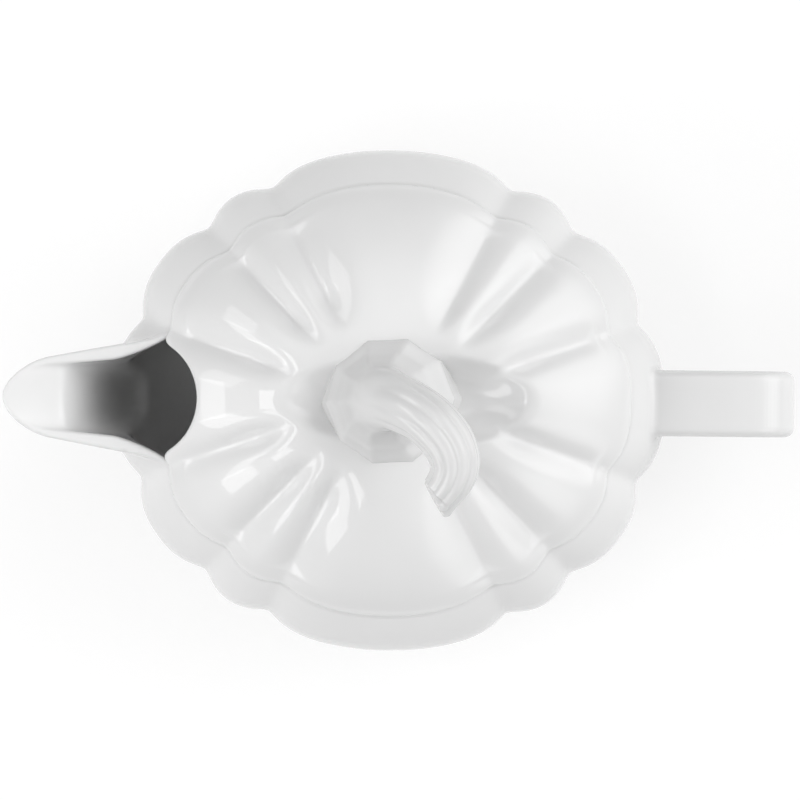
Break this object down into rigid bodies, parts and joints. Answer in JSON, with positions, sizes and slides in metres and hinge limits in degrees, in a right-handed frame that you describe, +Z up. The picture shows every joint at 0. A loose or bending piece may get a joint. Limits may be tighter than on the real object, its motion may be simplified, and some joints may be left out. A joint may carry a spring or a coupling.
{
  "type": "lidded gravy boat",
  "caption": "Ribbed pumpkin-shaped porcelain gravy boat with an open pouring spout, a strap handle, and a notched lift-off lid with a curled stem knob.",
  "frame": {"origin": "on the table plane under the foot ring, at the middle of the whole length from the spout's tip to the handle and of the width", "axes": "+X from the spout to the handle, +Z up, +Y to the right of someone who looks from the handle to the spout"},
  "size_m": [0.2066, 0.1324, 0.1094],
  "materials": {
    "white_glaze": "gloss",
    "bare_biscuit": "matte"
  },
  "bodies": {
    "boat": {"bowl": "white_glaze", "foot_ring": "bare_biscuit", "pouring_spout": "white_glaze", "strap_handle": "white_glaze"},
    "lid": {"lid_dome": "white_glaze", "lid_locating_rim": "white_glaze", "stem_knob": "white_glaze"}
  },
  "joints": [
    {"name": "lid_lift", "type": "slide", "parent": "boat", "child": "lid", "axis": [0, 0, 1], "range_m": [0, 0.08]}
  ]
}
